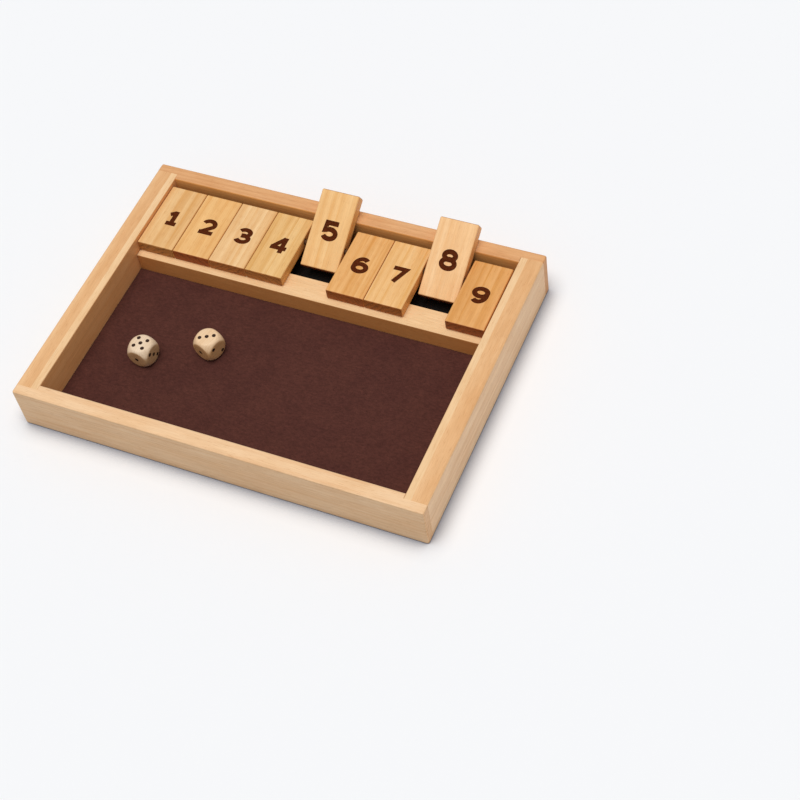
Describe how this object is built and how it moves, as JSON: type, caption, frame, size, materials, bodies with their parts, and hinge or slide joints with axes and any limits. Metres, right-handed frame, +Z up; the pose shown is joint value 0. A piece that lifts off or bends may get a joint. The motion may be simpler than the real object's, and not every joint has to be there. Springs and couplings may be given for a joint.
{
  "type": "shut the box game",
  "caption": "Open wooden dice tray with a felt floor, two wooden dice and a row of numbered tiles that flip over backwards on one rod.",
  "frame": {"origin": "on the table, under the middle of the tray's outline", "axes": "+X to the player's right along the row of tiles, +Y away from the player, +Z up"},
  "size_m": [0.28, 0.2079, 0.0474],
  "materials": {
    "rail_wood": "satin light pine",
    "side_wood": "satin warm pine",
    "liner_wood": "satin light pine",
    "rest_wood": "satin light pine",
    "tile_wood": "satin golden pine with dark burnt numbers",
    "panel_wood": "raw plywood",
    "rod_wood": "brown stained dowel",
    "die_wood": "smooth pale wood with dark pips",
    "felt": "dark brown felt"
  },
  "bodies": {
    "tray": {"front_rail": "rail_wood", "back_rail": "rail_wood", "left_rail": "side_wood", "right_rail": "side_wood", "left_liner": "liner_wood", "right_liner": "liner_wood", "base_panel": "panel_wood", "felt_mat": "felt", "tile_rest": "rest_wood", "pivot_rod": "rod_wood"},
    "tile_1": {"number_tile_1": "tile_wood"},
    "tile_2": {"number_tile_2": "tile_wood"},
    "tile_3": {"number_tile_3": "tile_wood"},
    "tile_4": {"number_tile_4": "tile_wood"},
    "tile_5": {"number_tile_5": "tile_wood"},
    "tile_6": {"number_tile_6": "tile_wood"},
    "tile_7": {"number_tile_7": "tile_wood"},
    "tile_8": {"number_tile_8": "tile_wood"},
    "tile_9": {"number_tile_9": "tile_wood"},
    "die_1_body": {"die_1": "die_wood"},
    "die_2_body": {"die_2": "die_wood"}
  },
  "joints": [
    {"name": "tile_1_flip", "type": "hinge", "parent": "tray", "child": "tile_1", "pos_m": [0, 0.0718, 0.0262], "axis": [-1, 0, 0], "range_deg": [0, 150.56]},
    {"name": "tile_2_flip", "type": "hinge", "parent": "tray", "child": "tile_2", "pos_m": [0, 0.0718, 0.0262], "axis": [-1, 0, 0], "range_deg": [0, 150.56]},
    {"name": "tile_3_flip", "type": "hinge", "parent": "tray", "child": "tile_3", "pos_m": [0, 0.0718, 0.0262], "axis": [-1, 0, 0], "range_deg": [0, 150.56]},
    {"name": "tile_4_flip", "type": "hinge", "parent": "tray", "child": "tile_4", "pos_m": [0, 0.0718, 0.0262], "axis": [-1, 0, 0], "range_deg": [0, 150.56]},
    {"name": "tile_5_flip", "type": "hinge", "parent": "tray", "child": "tile_5", "pos_m": [0, 0.0718, 0.0262], "axis": [-1, 0, 0], "range_deg": [-150.56, 0]},
    {"name": "tile_6_flip", "type": "hinge", "parent": "tray", "child": "tile_6", "pos_m": [0, 0.0718, 0.0262], "axis": [-1, 0, 0], "range_deg": [0, 150.56]},
    {"name": "tile_7_flip", "type": "hinge", "parent": "tray", "child": "tile_7", "pos_m": [0, 0.0718, 0.0262], "axis": [-1, 0, 0], "range_deg": [0, 150.56]},
    {"name": "tile_8_flip", "type": "hinge", "parent": "tray", "child": "tile_8", "pos_m": [0, 0.0718, 0.0262], "axis": [-1, 0, 0], "range_deg": [-150.56, 0]},
    {"name": "tile_9_flip", "type": "hinge", "parent": "tray", "child": "tile_9", "pos_m": [0, 0.0718, 0.0262], "axis": [-1, 0, 0], "range_deg": [0, 150.56]},
    {"name": "die_1_lift", "type": "slide", "parent": "tray", "child": "die_1_body", "axis": [0, 0, 1], "range_m": [0, 0.1]},
    {"name": "die_2_lift", "type": "slide", "parent": "tray", "child": "die_2_body", "axis": [0, 0, 1], "range_m": [0, 0.1]}
  ]
}
